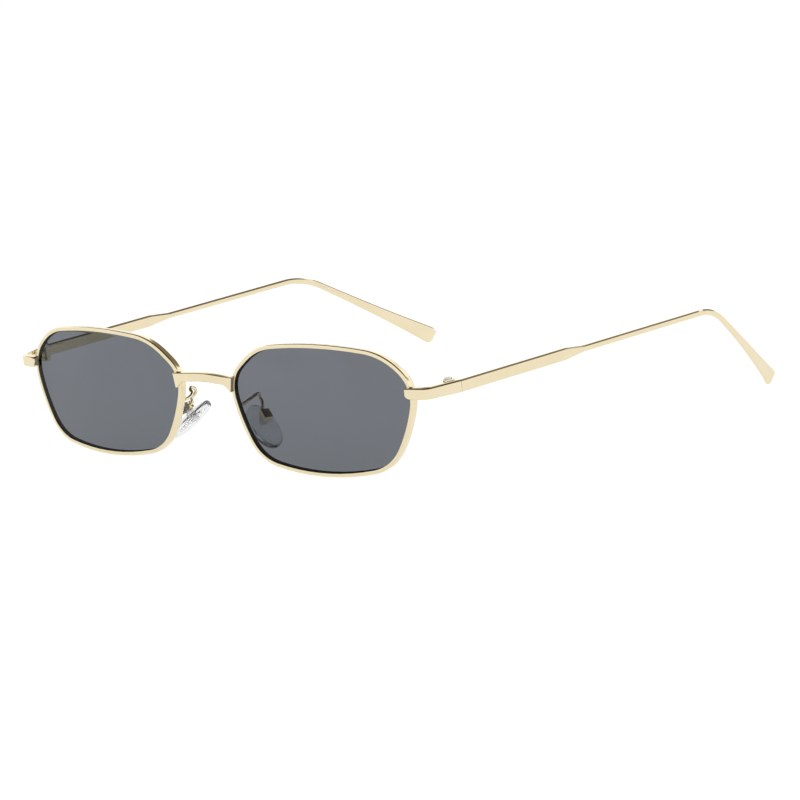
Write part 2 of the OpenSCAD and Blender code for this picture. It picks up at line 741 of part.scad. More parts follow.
function splayed(q) = [
    q[0] * cos(temple_splay) - q[1] * sin(temple_splay),
    q[0] * sin(temple_splay) + q[1] * cos(temple_splay),
    q[2]
];
function temple_points(side) = [
    for (s = temple_stations(side), p = temple_ring(s, side))
        temple_start + splayed(turned_x(p, -temple_fall - side * temple_twist))
];
rim_low = [for (i = [0:outline_n - 1]) each rim_ring(i)];
function lowest(points, lean) = min([for (p = points) turned_x(p, lean)[2]]);
tip_low = temple_points(1);
rim_low_z = lowest(rim_low, 0);
tip_low_z = lowest(tip_low, 0);
tip_low_y = [for (p = tip_low) if (p[2] == tip_low_z) p[1]][0];
rim_low_y = [for (p = rim_low) if (p[2] == rim_low_z) p[1]][0];
lean = atan((rim_low_z - tip_low_z) / (tip_low_y - rim_low_y));
floor_z = min(lowest(rim_low, lean), lowest(tip_low, lean));
back_y = max([for (side = [-1, 1], p = temple_points(side)) turned_x(p, lean)[1]]);
bridge_top_front = [0, front_y, bridge_top_z + bridge_rise - bridge_bevel];
origin_y = (back_y + turned_x(bridge_top_front, lean)[1]) / 2;

module stand() { translate([0, -origin_y, -floor_z]) rotate([lean, 0, 0]) children(); }
module right_side() { mirror([1, 0, 0]) children(); }

module left_rim() { stand() rim(); }
module right_rim() { stand() right_side() rim(); }
module left_lens() { stand() lens(); }
module right_lens() { stand() right_side() lens(); }
module bridge() { stand() bridge_bar(); }
module left_endpiece() { stand() endpiece(); }
module right_endpiece() { stand() right_side() endpiece(); }
module left_upper_closing_block() { stand() upper_closing_block(); }
module right_upper_closing_block() { stand() right_side() upper_closing_block(); }
module left_lower_closing_block() { stand() lower_closing_block(); }
module right_lower_closing_block() { stand() right_side() lower_closing_block(); }
module left_closing_screw() { stand() closing_screw(); }
module right_closing_screw() { stand() right_side() closing_screw(); }
module left_front_hinge_leaf() { stand() front_hinge_leaf(); }
module right_front_hinge_leaf() { stand() right_side() front_hinge_leaf(); }
module left_temple_hinge_leaf() { stand() temple_hinge_leaf(); }
module right_temple_hinge_leaf() { stand() right_side() temple_hinge_leaf(); }
module left_hinge_screw() { stand() hinge_screw(); }
module right_hinge_screw() { stand() right_side() hinge_screw(); }
module left_temple() { stand() temple(1); }
module right_temple() { stand() right_side() temple(-1); }
module left_pad_arm() { stand() pad_arm(); }
module right_pad_arm() { stand() right_side() pad_arm(); }
module left_pad_box() { stand() pad_box(); }
module right_pad_box() { stand() right_side() pad_box(); }
module left_pad_screw() { stand() pad_screw(); }
module right_pad_screw() { stand() right_side() pad_screw(); }
module left_pad_core() { stand() pad_core(); }
module right_pad_core() { stand() right_side() pad_core(); }
module left_nose_pad() { stand() nose_pad(); }
module right_nose_pad() { stand() right_side() nose_pad(); }

left_rim();
right_rim();
left_lens();
right_lens();
bridge();
left_endpiece();
right_endpiece();
left_upper_closing_block();
right_upper_closing_block();
left_lower_closing_block();
right_lower_closing_block();
left_closing_screw();
right_closing_screw();
left_front_hinge_leaf();
right_front_hinge_leaf();
left_temple_hinge_leaf();
right_temple_hinge_leaf();
left_hinge_screw();
right_hinge_screw();
left_temple();
right_temple();
left_pad_arm();
right_pad_arm();
left_pad_box();
right_pad_box();
left_pad_screw();
right_pad_screw();
left_pad_core();
right_pad_core();
left_nose_pad();
right_nose_pad();
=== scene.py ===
import json
import math

import bmesh
import bpy
from mathutils import Matrix, Vector

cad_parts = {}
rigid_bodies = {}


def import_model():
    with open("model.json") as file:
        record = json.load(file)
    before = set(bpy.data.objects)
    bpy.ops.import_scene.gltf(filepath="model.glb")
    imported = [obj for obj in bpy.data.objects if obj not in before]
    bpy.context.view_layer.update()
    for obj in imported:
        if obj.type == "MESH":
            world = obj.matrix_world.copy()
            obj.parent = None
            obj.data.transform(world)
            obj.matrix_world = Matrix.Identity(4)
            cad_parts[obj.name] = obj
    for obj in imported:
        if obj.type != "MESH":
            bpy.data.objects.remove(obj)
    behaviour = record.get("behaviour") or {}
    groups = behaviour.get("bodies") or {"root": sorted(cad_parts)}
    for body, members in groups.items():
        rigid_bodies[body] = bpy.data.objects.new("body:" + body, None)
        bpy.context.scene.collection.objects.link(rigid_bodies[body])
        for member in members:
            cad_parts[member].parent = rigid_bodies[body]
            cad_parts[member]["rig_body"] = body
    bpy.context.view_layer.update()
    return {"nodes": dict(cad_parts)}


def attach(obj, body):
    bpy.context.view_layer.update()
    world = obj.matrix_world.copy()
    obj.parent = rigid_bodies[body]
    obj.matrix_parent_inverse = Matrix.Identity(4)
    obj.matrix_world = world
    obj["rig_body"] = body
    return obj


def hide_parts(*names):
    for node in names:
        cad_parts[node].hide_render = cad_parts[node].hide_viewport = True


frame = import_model()
scene = bpy.context.scene
scene.view_settings.view_transform = "Standard"
print("frame loaded")

# Shapes are drawn in millimetres in the upright frame of the glasses: x to the wearer's left,
# y to the back, z up from the middle of the lenses. Left is drawn, and right is its mirror.
stand = {"lean": 4.126, "originY": 77.364, "floorZ": -15.683}
standMatrix = (
    Matrix.Scale(0.001, 4)
    @ Matrix.Translation((0, -stand["originY"], -stand["floorZ"]))
    @ Matrix.Rotation(math.radians(stand["lean"]), 4, "X")
)
sides = (("left", 1), ("right", -1))


def newMaterial(name):
    material = bpy.data.materials.new(name)
    material.use_nodes = True
    return material, material.node_tree.nodes, material.node_tree.links


def addNoise(nodes, links, scale, detail=3, stretch=(1, 1, 1), turn=(0, 0, 0)):
    coords = nodes.new("ShaderNodeTexCoord")
    mapping = nodes.new("ShaderNodeMapping")
    mapping.inputs["Scale"].default_value = stretch
    mapping.inputs["Rotation"].default_value = turn
    noise = nodes.new("ShaderNodeTexNoise")
    noise.inputs["Scale"].default_value = scale
    noise.inputs["Detail"].default_value = detail
    links.new(coords.outputs["Object"], mapping.inputs["Vector"])
    links.new(mapping.outputs["Vector"], noise.inputs["Vector"])
    return noise


def addRange(nodes, links, source, low, high, fromLow=0.3, fromHigh=0.7):
    spread = nodes.new("ShaderNodeMapRange")
    spread.inputs["From Min"].default_value = fromLow
    spread.inputs["From Max"].default_value = fromHigh
    spread.inputs["To Min"].default_value = low
    spread.inputs["To Max"].default_value = high
    links.new(source, spread.inputs["Value"])
    return spread.outputs["Result"]


def addMix(nodes, links, factor, first, second):
    mix = nodes.new("ShaderNodeMix")
    mix.data_type = "RGBA"
    for socket, value in (("A", first), ("B", second)):
        if isinstance(value, tuple):
            mix.inputs[socket].default_value = (*value, 1)
        else:
            links.new(value, mix.inputs[socket])
    links.new(factor, mix.inputs["Factor"])
    return mix.outputs["Result"]


def metalMaterial(name, look):
    # polished plating: a slow colour drift, fine roughness, hairlines and brighter worn edges
    material, nodes, links = newMaterial(name)
    shader = nodes["Principled BSDF"]
    shader.inputs["Metallic"].default_value = 1
    drift = addNoise(nodes, links, look["driftScale"])
    driftShare = addRange(nodes, links, drift.outputs["Fac"], 0, 1)
    plated = addMix(nodes, links, driftShare, look["light"], look["deep"])
    pointy = nodes.new("ShaderNodeNewGeometry").outputs["Pointiness"]
    wear = addRange(nodes, links, pointy, 0, look["wear"], *look["wearRange"])
    worn = addMix(nodes, links, wear, plated, look["worn"])
    links.new(worn, shader.inputs["Base Color"])
    hairs = addNoise(nodes, links, look["hairScale"], 2, look["hairStretch"], look["hairTurn"])
    rough = addRange(nodes, links, hairs.outputs["Fac"], *look["rough"])
    links.new(rough, shader.inputs["Roughness"])
    bump = nodes.new("ShaderNodeBump")
    bump.inputs["Strength"].default_value = look["bump"]
    bump.inputs["Distance"].default_value = look["bumpDepth"]
    links.new(hairs.outputs["Fac"], bump.inputs["Height"])
    links.new(bump.outputs["Normal"], shader.inputs["Normal"])
    return material


goldLook = {
    "light": (0.88, 0.77, 0.53),
    "deep": (0.85, 0.735, 0.495),
    "worn": (0.92, 0.84, 0.64),
    "wear": 0.5,
    "wearRange": (0.5, 0.62),
    "driftScale": 160,
    "hairScale": 900,
    "hairStretch": (1, 6, 6),
    "hairTurn": (0.5, 0.2, 0.3),
    "rough": (0.06, 0.11),
    "bump": 0.12,
    "bumpDepth": 0.00002,
}
steelLook = {
    "light": (0.80, 0.80, 0.79),
    "deep": (0.66, 0.66, 0.66),
    "worn": (0.90, 0.90, 0.89),
    "wear": 0.6,
    "wearRange": (0.5, 0.62),
    "driftScale": 900,
    "hairScale": 3000,
    "hairStretch": (1, 1, 3),
    "hairTurn": (0.5, 0.2, 0.3),
    "rough": (0.16, 0.30),
    "bump": 0.2,
    "bumpDepth": 0.00002,
}
gold = metalMaterial("gold_plating", goldLook)
steel = metalMaterial("screw_steel", steelLook)

lensLook = {
    "tint": (0.162, 0.173, 0.196),
    "tintDeep": (0.147, 0.161, 0.179),
    "rough": (0.0, 0.02),
    "ior": 1.2,
    "shine": 0.1,
    "clear": 1,
    "fade": (0.002, 0.028),
    "smudgeScale": 60,
    "smudgeRange": (0.5, 0.9),
    "bump": 0.02,
    "bumpDepth": 0.00005,
}
padLook = {
    "tint": (0.93, 0.94, 0.95),
    "tintDeep": (0.87, 0.89, 0.905),
    "rough": (0.02, 0.08),
    "ior": 1.26,
    "shine": 0.9,
    "clear": 0.91,
    "fade": None,
    "smudgeScale": 700,
    "smudgeRange": (0.5, 0.9),
    "bump": 0.1,
    "bumpDepth": 0.00005,
}


def clearMaterial(name, look):
    # glass or silicone: a faint drift of the tint, smudges in the roughness and a slight waviness
    material, nodes, links = newMaterial(name)
    shader = nodes["Principled BSDF"]
    shader.inputs["Transmission Weight"].default_value = look["clear"]
    shader.inputs["Specular IOR Level"].default_value = look["shine"]
    shader.inputs["IOR"].default_value = look["ior"]
    smudge = addNoise(nodes, links, look["smudgeScale"])
    share = addRange(nodes, links, smudge.outputs["Fac"], 0, 1)
    tint = addMix(nodes, links, share, look["tint"], look["tintDeep"])
    if look["fade"]:  # the tint is a little lighter towards the top
        coords = nodes.new("ShaderNodeTexCoord")
        parts = nodes.new("ShaderNodeSeparateXYZ")
        links.new(coords.outputs["Object"], parts.inputs[0])
        height = addRange(nodes, links, parts.outputs["Z"], 0, 1, *look["fade"])
        tint = addMix(nodes, links, height, look["tintDeep"], tint)
    links.new(tint, shader.inputs["Base Color"])
    rough = addRange(nodes, links, smudge.outputs["Fac"], *look["rough"], *look["smudgeRange"])
    links.new(rough, shader.inputs["Roughness"])
    bump = nodes.new("ShaderNodeBump")
    bump.inputs["Strength"].default_value = look["bump"]
    bump.inputs["Distance"].default_value = look["bumpDepth"]
    links.new(smudge.outputs["Fac"], bump.inputs["Height"])
    links.new(bump.outputs["Normal"], shader.inputs["Normal"])
    return material


lensGlass = clearMaterial("grey_lens", lensLook)
padSilicone = clearMaterial("clear_pad", padLook)

edgeAndShadeLook = {
    # the ground edge of a lens, matt and near black: partly its own dark edge, partly painted
    # shade for the rim's groove seen through the lens
    "light": (0.008, 0.008, 0.009),
    "deep": (0.003, 0.003, 0.003),
    "rough": (0.5, 0.8),
    "clear": 0,
    "ior": 1.5,
    "shine": 0,
    "noiseScale": 2500,
}
coreLook = {
    # the harder lug inside a clear pad, milky and half clear
    "light": (0.93, 0.93, 0.94),
    "deep": (0.82, 0.83, 0.84),
    "rough": (0.1, 0.3),
    "clear": 0.8,
    "ior": 1.05,
    "shine": 0.5,
    "noiseScale": 1800,
}


def plainMaterial(name, look):
    # only a faint drift of the colour and the roughness
    material, nodes, links = newMaterial(name)
    shader = nodes["Principled BSDF"]
    shader.inputs["Transmission Weight"].default_value = look["clear"]
    shader.inputs["Specular IOR Level"].default_value = look["shine"]
    shader.inputs["IOR"].default_value = look["ior"]
    noise = addNoise(nodes, links, look["noiseScale"])
    share = addRange(nodes, links, noise.outputs["Fac"], 0, 1)
    colour = addMix(nodes, links, share, look["light"], look["deep"])
    links.new(colour, shader.inputs["Base Color"])
    rough = addRange(nodes, links, noise.outputs["Fac"], *look["rough"])
    links.new(rough, shader.inputs["Roughness"])
    return material


lensEdgeAndShade = plainMaterial("lens_edge_and_painted_shade", edgeAndShadeLook)
corePlastic = plainMaterial("pad_core", coreLook)
print("finishes ready")


def finishPiece(bm, name, material, node, sharpAngle, matrix=None):
    # edges that turn by more than the sharp angle, in degrees, stay crisp
    if matrix is not None:
        bmesh.ops.transform(bm, matrix=matrix, verts=bm.verts)
    bmesh.ops.remove_doubles(bm, verts=bm.verts, dist=1e-7)
    bmesh.ops.recalc_face_normals(bm, faces=bm.faces)
    for face in bm.faces:
        face.smooth = True
    for edge in bm.edges:
        if edge.is_manifold and edge.calc_face_angle(0) > math.radians(sharpAngle):
            edge.smooth = False
    mesh = bpy.data.meshes.new(name)
    bm.to_mesh(mesh)
    bm.free()
    piece = bpy.data.objects.new(name, mesh)
    scene.collection.objects.link(piece)
    mesh.materials.append(material)
    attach(piece, frame["nodes"][node]["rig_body"])
    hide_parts(node)
    return piece


def sideMatrix(sign):
    return standMatrix @ Matrix.Scale(sign, 4, (1, 0, 0))


def roundEdges(bm, edges, size, segments):
    bmesh.ops.bevel(
        bm, geom=edges, offset=size, offset_type="OFFSET", segments=segments, profile=0.5,
        affect="EDGES", material=-1, clamp_overlap=True, loop_slide=True,
    )


endShares = (0, 0.1, 0.4)  # where a rounded end is cut, as shares of its size


def endTrim(distance, size):
    # how much a rounded end takes off the bar this far from its end
    if distance >= size:
        return 0
    return size - math.sqrt(size * size - (size - distance) ** 2)


# from the side face to the top, how far each point of a bevelled edge stands out across and up
bevelShares = [(1, 0), (0.97, 0.12), (0.9, 0.24), (0.2, 0.9), (0.08, 0.98), (0, 1)]
bevelSteps = len(bevelShares) - 1


def onBar(c, half, size, share, trim):
    # a point of a bevelled edge of this size as a share of the half width
    size = min(size, half)
    return math.copysign(half - size + (size - trim) * share, c) / half


def makeBar(stations, sectionAt, thick, edges, crown):
    # a square bar with bevelled edges is cut along its length, and each cut is moved to its
    # station, which ends with the height there and what the rounded end takes off; the face is
    # the side where across has the sign of the crown, and the top falls by the crown towards it
    bm = bmesh.new()
    bmesh.ops.create_cube(bm, size=2)  # from -1 to 1, and its bevels start at 0.5
    long = [e for e in bm.edges if abs(e.verts[0].co.x - e.verts[1].co.x) > 1]
    roundEdges(bm, long, 0.5, bevelSteps)
    long = [e for e in bm.edges if abs(e.verts[0].co.x - e.verts[1].co.x) > 1]
    steps = len(stations) - 1
    bmesh.ops.subdivide_edges(bm, edges=long, cuts=steps - 1)
    for v in bm.verts:
        station = stations[round((v.co.x + 1) / 2 * steps)]
        height, trim = station[-2:]
        corner = math.atan2(abs(v.co.z) - 0.5, abs(v.co.y) - 0.5)
        shares = bevelShares[round(corner / (math.pi / 2) * bevelSteps)]
        width, depth = edges["face"] if v.co.y * crown > 0 else edges["back"]
        across = onBar(v.co.y, thick / 2, width, shares[0], trim)
        up = onBar(v.co.z, height / 2, depth, shares[1], trim)
        if up > 0:
            up -= (abs(crown) + crown * across) / height
        v.co = sectionAt(station, across, up)
    return bm


# the outline of a lens opening is a curve of six bowed edges and six rounded corners
lensShape = {
    "centreX": 34.3,
    "corners": [
        (-17, 12.9), (17.8, 12.9), (25.8, 5.7), (18.2, -12.6), (-18.2, -12.6), (-25.8, 5.7),
    ],
    "bows": [1.4, 0.5, 1.4, 2.4, 1.4, 0.1],
    "cornerRound": 4.5,
    "wrap": 4,
    "acrossR": 195,
    "downR": 550,
    "curveSteps": 9,
}


def toFace(u, depth, v):
    wrap = math.radians(lensShape["wrap"])
    across = u + lensShape["centreX"]
    w = u * u / (2 * lensShape["acrossR"]) + v * v / (2 * lensShape["downR"]) + depth
    return Vector((
        across * math.cos(wrap) - w * math.sin(wrap),
        across * math.sin(wrap) + w * math.cos(wrap),
        v,
    ))


def drawOutline():
    corners = [Vector(c) for c in lensShape["corners"]]
    stops = []  # the ends of each bowed edge, with the handles into the edge
    for i, bow in enumerate(lensShape["bows"]):
        a, b = corners[i], corners[(i + 1) % 6]
        along = (b - a).normalized()
        out = Vector((-along.y, along.x))
        trim = lensShape["cornerRound"] / (b - a).length

        def onEdge(t):
            return a + (b - a) * t + out * 4 * bow * t * (1 - t)

        def slope(t):
            return (b - a) + out * 4 * bow * (1 - 2 * t)

        first, last = onEdge(trim), onEdge(1 - trim)
        reach = (1 - 2 * trim) / 3
        stops.append((first, slope(trim) * reach, last, slope(1 - trim) * reach))

    def pullOf(i):
        # the point that both handles round corner i lean to
        before, after = stops[i - 1], stops[i % 6]
        pullIn = before[2] + before[3].normalized() * lensShape["cornerRound"]
        pullOut = after[0] - after[1].normalized() * lensShape["cornerRound"]
        return (pullIn + pullOut) / 2

    curve = bpy.data.curves.new("lens_outline", "CURVE")
    curve.dimensions = "3D"
    curve.resolution_u = lensShape["curveSteps"]
    spline = curve.splines.new("BEZIER")
    spline.bezier_points.add(11)  # twelve points, two for each corner
    spline.use_cyclic_u = True
    for i in range(6):
        first, firstSlope, last, lastSlope = stops[i]
        start, end = spline.bezier_points[2 * i], spline.bezier_points[2 * i + 1]
        for point in (start, end):
            point.handle_left_type = point.handle_right_type = "FREE"
        start.co = (first.x, 0, first.y)
        left = first + (pullOf(i) - first) * 2 / 3
        right = first + firstSlope
        start.handle_left, start.handle_right = (left.x, 0, left.y), (right.x, 0, right.y)
        end.co = (last.x, 0, last.y)
        left = last - lastSlope
        right = last + (pullOf(i + 1) - last) * 2 / 3
        end.handle_left, end.handle_right = (left.x, 0, left.y), (right.x, 0, right.y)
    drawn = bpy.data.objects.new("lens_outline", curve)
    points = [v.co.copy() for v in drawn.to_mesh().vertices]
    drawn.to_mesh_clear()
    bpy.data.objects.remove(drawn)
    bpy.data.curves.remove(curve)
    return points


outline = drawOutline()
outlineOut = []
for k in range(len(outline)):
    along = (outline[(k + 1) % len(outline)] - outline[k - 1]).normalized()
    outlineOut.append(Vector((-along.z, 0, along.x)))


def startLoop(bm, out, depth):
    place = bm.verts.layers.int.new("place")
    verts = []
    for k, p in enumerate(outline):
        v = bm.verts.new(p + outlineOut[k] * out + Vector((0, depth, 0)))
        v[place] = k
        verts.append(v)
    return [bm.edges.new((verts[k - 1], verts[k])) for k in range(len(verts))]


def growLoop(bm, edges, out, depth, share=1):
    # extrudes the loop and moves it to its new place on the section
    place = bm.verts.layers.int["place"]
    made = bmesh.ops.extrude_edge_only(bm, edges=edges)["geom"]
    verts = {g for g in made if isinstance(g, bmesh.types.BMVert)}
    for v in verts:
        k = v[place]
        v.co = (outline[k] + outlineOut[k] * out) * share + Vector((0, depth, 0))
    return [g for g in made if isinstance(g, bmesh.types.BMEdge) and set(g.verts) <= verts]


rimShape = {
    # out from the lens opening and depth behind the front face, round the section
    "section": [
        (0, 0.08), (0.03, 0.02), (0.1, 0), (0.62, 0), (0.76, 0.03), (0.86, 0.10), (0.93, 0.22),
        (0.947, 0.36), (0.94, 0.46), (0.77, 1.15), (0.79, 1.62), (0.73, 1.84), (0.59, 1.96),
        (0.45, 2), (0, 2), (0, 1.7), (0.45, 1.0), (0, 0.3),
    ],
    "rounding": 0.04,
    "cornerAngle": 40,
    "cutBeyond": 20,
    "cutLevel": 4.9,
    "cutHeight": 0.2,
    "sharpAngle": 30,
}


def makeRim():
    bm = bmesh.new()
    section = rimShape["section"]
    loop = startLoop(bm, *section[0])
    for out, depth in section[1:] + section[:1]:
        loop = growLoop(bm, loop, out, depth)
    bmesh.ops.remove_doubles(bm, verts=bm.verts, dist=1e-5)
    for v in bm.verts:
        v.co = toFace(*v.co)
    bmesh.ops.recalc_face_normals(bm, faces=bm.faces)
    corner = math.radians(rimShape["cornerAngle"])
    sharp = [e for e in bm.edges if e.calc_face_angle(0) > corner]
    roundEdges(bm, sharp, rimShape["rounding"], 2)
    # the rim is split between the closing blocks
    cutX = lensShape["centreX"] + rimShape["cutBeyond"]
    for level in (-0.5, 0.5):
        z = rimShape["cutLevel"] + level * rimShape["cutHeight"]
        near = [f for f in bm.faces if f.calc_center_median().x > cutX]
        parts = set(near)
        parts |= {e for f in near for e in f.edges} | {v for f in near for v in f.verts}
        bmesh.ops.bisect_plane(bm, geom=list(parts), plane_co=(0, 0, z), plane_no=(0, 0, 1))
    gone = [
        f for f in bm.faces
        if f.calc_center_median().x > cutX
        and abs(f.calc_center_median().z - rimShape["cutLevel"]) < rimShape["cutHeight"] / 2
    ]
    bmesh.ops.delete(bm, geom=gone, context="FACES")
    bmesh.ops.holes_fill(bm, edges=[e for e in bm.edges if e.is_boundary], sides=0)
    return bm


lensPiece = {
    # the edge is listed as the rim's section is, and the faces are rings at shares of the outline
    "front": 0.25,
    "groundFrom": 0.26,
    "back": 1.75,
    "edge": [(-0.02, 0.28), (0.36, 0.95), (0.41, 1.0), (0.36, 1.05), (-0.12, 1.72)],
    "shares": [0.995, 0.97, 0.92, 0.84, 0.74, 0.62, 0.5, 0.38, 0.26, 0.14, 0.05],
    "sharpAngle": 30,
}


def makeLens():
    bm = bmesh.new()
    edge = lensPiece["edge"]
    first = startLoop(bm, *edge[0])
    loop = first
    for out, depth in edge[1:]:
        loop = growLoop(bm, loop, out, depth)
    faces = ((loop, edge[-1][0], lensPiece["back"]), (first, edge[0][0], lensPiece["front"]))
    for loop, out, depth in faces:
        for share in lensPiece["shares"]:
            loop = growLoop(bm, loop, out, depth, share)
        ring = list({v for e in loop for v in e.verts})
        bmesh.ops.pointmerge(bm, verts=ring, merge_co=(0, depth, 0))
    # the ground edge's near-black material is partly painted shade from the rim's groove
    for face in bm.faces:  # the second material is for the ground edge
        depths = [v.co.y for v in face.verts]
        isEdge = max(depths) - min(depths) > 1e-6 and min(depths) > lensPiece["groundFrom"]
        face.material_index = int(isEdge)
    for v in bm.verts:
        v.co = toFace(*v.co)
    return bm


for side, sign in sides:
    finishPiece(
        makeRim(), side + "_rim_wire", gold, side + "_rim",
        rimShape["sharpAngle"], sideMatrix(sign),
    )
    lens = finishPiece(
        makeLens(), side + "_lens_glass", lensGlass, side + "_lens",
        lensPiece["sharpAngle"], sideMatrix(sign),
    )
    lens.data.materials.append(lensEdgeAndShade)
print("rims and lenses made")

# a bar that arches up a little and flares towards the rims
bridgeShape = {
    "reach": 9.4,
    "thick": 1.175,
    "height": 2.2,
    "endHeight": 3.9,
    "topZ": 6.35,
    "rise": 0.42,
    "flareStart": 0.72,
    "flarePower": 1.6,
    "slant": 0.07,
    "steps": 40,
    "edges": {"face": (0.22, 0.18), "back": (0.1, 0.1)},
    "crown": 0.16,
    "endRound": 0.25,
    "faceGap": 0.02,
    "sharpAngle": 12,
}


def bridgeStation(x):
    b = bridgeShape
    flare = max(0, abs(x) / b["reach"] - b["flareStart"]) / (1 - b["flareStart"])
    flare **= b["flarePower"]
    height = b["height"] + (b["endHeight"] - b["height"]) * flare
    return x, height, endTrim(b["reach"] - abs(x), b["endRound"])


def bridgeSection(station, across, up):
    b = bridgeShape
    x, height = station[:2]
    top = b["topZ"] + b["rise"] * math.cos(math.pi / 2 * x / b["reach"]) ** 2
    cornerU, cornerZ = lensShape["corners"][-1]
    y = min(
        toFace(cornerU, 0, cornerZ).y,
        toFace(abs(x) - lensShape["centreX"], 0, b["topZ"] - height / 2).y,
    )
    y -= b["faceGap"] + b["thick"] / 2
    drop = (1 - up) / 2
    return Vector((
        x * (1 - b["slant"] * drop),
        y + across * b["thick"] / 2,
        top - height * drop,
    ))


bridgeEnd = [bridgeShape["endRound"] * share for share in endShares]
bridgeStops = [-bridgeShape["reach"] + d for d in bridgeEnd]
inner = bridgeShape["reach"] - bridgeShape["endRound"]
for k in range(bridgeShape["steps"] + 1):
    bridgeStops.append(inner * (2 * k / bridgeShape["steps"] - 1))
bridgeStops += [bridgeShape["reach"] - d for d in reversed(bridgeEnd)]
finishPiece(
    makeBar(
        [bridgeStation(x) for x in bridgeStops], bridgeSection,
        bridgeShape["thick"], bridgeShape["edges"], -bridgeShape["crown"],
    ),
    "bridge_bar", gold, "bridge", bridgeShape["sharpAngle"], sideMatrix(1),
)
print("bridge made")

# a flat bar on the rim's face that turns back to the temple
endShape = {
    "start": (58.95, 4.262),
    "corner": (64.7, 5.482),
    "seam": (67.2, 14.8),
    "frontSlope": 11.97,
    "sideAngle": 15.02,
    "fillet": 2,
    "thick": 1.4,
    "frontHeight": 2.8,
    "seamHeight": 3,
    "level": 4.9,
    "innerRound": 1.6,
    "innerShare": 0.5,
    "innerSteps": (0, 0.02, 0.08, 0.17, 0.33, 0.5, 0.67, 0.83, 1),
    "lift": 0.35,
    "edges": {"face": (0.4, 0.2), "back": (0.12, 0.12)},
    "crown": 0.2,
    "endRound": 0.3,
    "seamEdge": 0.06,
    "turnSteps": 12,
    "sharpAngle": 12,
}


def endStations():
    e = endShape
    slope, side = math.radians(e["frontSlope"]), math.radians(e["sideAngle"])
    forward = Vector((math.cos(slope), math.sin(slope)))
    back = Vector((math.sin(side), math.cos(side)))
    stations = []
    for step in e["innerSteps"]:
        share = e["innerShare"] + (1 - e["innerShare"]) * math.sqrt(1 - (1 - step) ** 2)
        distance = step * e["innerRound"]
        place = Vector(e["start"]) + forward * distance
        stations.append((place, slope, share * e["frontHeight"], endTrim(distance, e["endRound"])))
    corner = Vector(e["corner"])
    for k in range(e["turnSteps"] + 1):
        t = k / e["turnSteps"]
        place = corner - forward * e["fillet"] * (1 - t) ** 2 + back * e["fillet"] * t * t
        heading = slope + (math.pi / 2 - side - slope) * t
        stations.append((place, heading, e["frontHeight"], 0))
    seam = Vector(e["seam"])
    for place in (seam, seam + back):  # a little past the seam, where it is cut square
        stations.append((place, math.pi / 2 - side, e["seamHeight"], 0))
    return stations


def endSection(station, across, up):
    place, heading, height = station[:3]
    e = endShape
    lift = max(0, e["lift"] * (e["frontHeight"] - height))
    inward = Vector((-math.sin(heading), math.cos(heading)))
    middle = place + inward * (1 + across) * e["thick"] / 2
    return Vector((middle.x, middle.y, e["level"] + lift + up * height / 2))


def makeEndpiece():
    e = endShape
    bm = makeBar(endStations(), endSection, e["thick"], e["edges"], -e["crown"])
    parts = list(bm.verts) + list(bm.edges) + list(bm.faces)
    bmesh.ops.bisect_plane(
        bm, geom=parts, plane_co=(0, e["seam"][1], 0), plane_no=(0, 1, 0), clear_outer=True
    )
    rim = [edge for edge in bm.edges if edge.is_boundary]
    bmesh.ops.holes_fill(bm, edges=rim, sides=0)
    roundEdges(bm, rim, e["seamEdge"], 2)
    return bm


for side, sign in sides:
    finishPiece(
        makeEndpiece(), side + "_endpiece_bar", gold, side + "_endpiece",
        endShape["sharpAngle"], sideMatrix(sign),
    )
print("endpieces made")

# a flat strip that narrows, bends down behind the ear and ends in a paddle
templeShape = {
    "start": (67.2, 14.86, 4.9),
    "length": 91,
    "earLength": 39.39,
    "earBend": 31.4,
    "earSkew": 1.5,
    "bendR": 25,
    "wideLength": 38.5,
    "taperLength": 7,
    "wideHeight": 3,
    "slimHeight": 1.6,
    "tipHeight": 4.79,
    "thick": 1.1,
    "inset": 11.2,
    "insetSkew": 0.8,
    "fall": 1.4,
    "twist": 0.45,
    "splay": -0.2,
    "slant": 0.25,
    "droop": 0.5,
    "growth": 2.4,
    "insetPower": 1.2,
    "tipRound": 1.4,
    "tipOff": 2,
    "tipPower": 1.7,
    "slantFade": 3,
    "cuts": {"wide": 8, "taper": 8, "slim": 10, "bend": 24, "ear": 24, "tip": 10},
    "edges": {"face": (0.44, 0.32), "back": (0.54, 0.5)},
    "crown": 0.16,
    "startRound": 0.06,
    "tipEdge": 0.25,
    "sharpAngle": 12,
}


def templeLengths(sign):
    # the length of the bend behind the ear, and of the whole temple
    t = templeShape
    bendLength = t["bendR"] * math.radians(t["earBend"] + sign * t["earSkew"])
    return bendLength, t["length"] + bendLength + t["earLength"]


def templeHeight(s, ear, left):
    # s runs from the hinge, ear is the share of the way behind the straight part, and left is
    # what remains to the tip
    t = templeShape
    if s < t["wideLength"] + t["taperLength"]:
        narrowed = max(0, (s - t["wideLength"]) / t["taperLength"])
        height = t["wideHeight"] + (t["slimHeight"] - t["wideHeight"]) * narrowed
    else:
        height = t["slimHeight"] + (t["tipHeight"] - t["slimHeight"]) * ear ** t["growth"]
    nearTip = max(0, 1 - left / t["tipRound"])
    return height - t["tipOff"] * (1 - math.sqrt(max(0, 1 - nearTip ** t["tipPower"])))


def evenStops(start, end, count):
    # evenly spaced places, with the start and without the end
    return [start + (end - start) * k / count for k in range(count)]


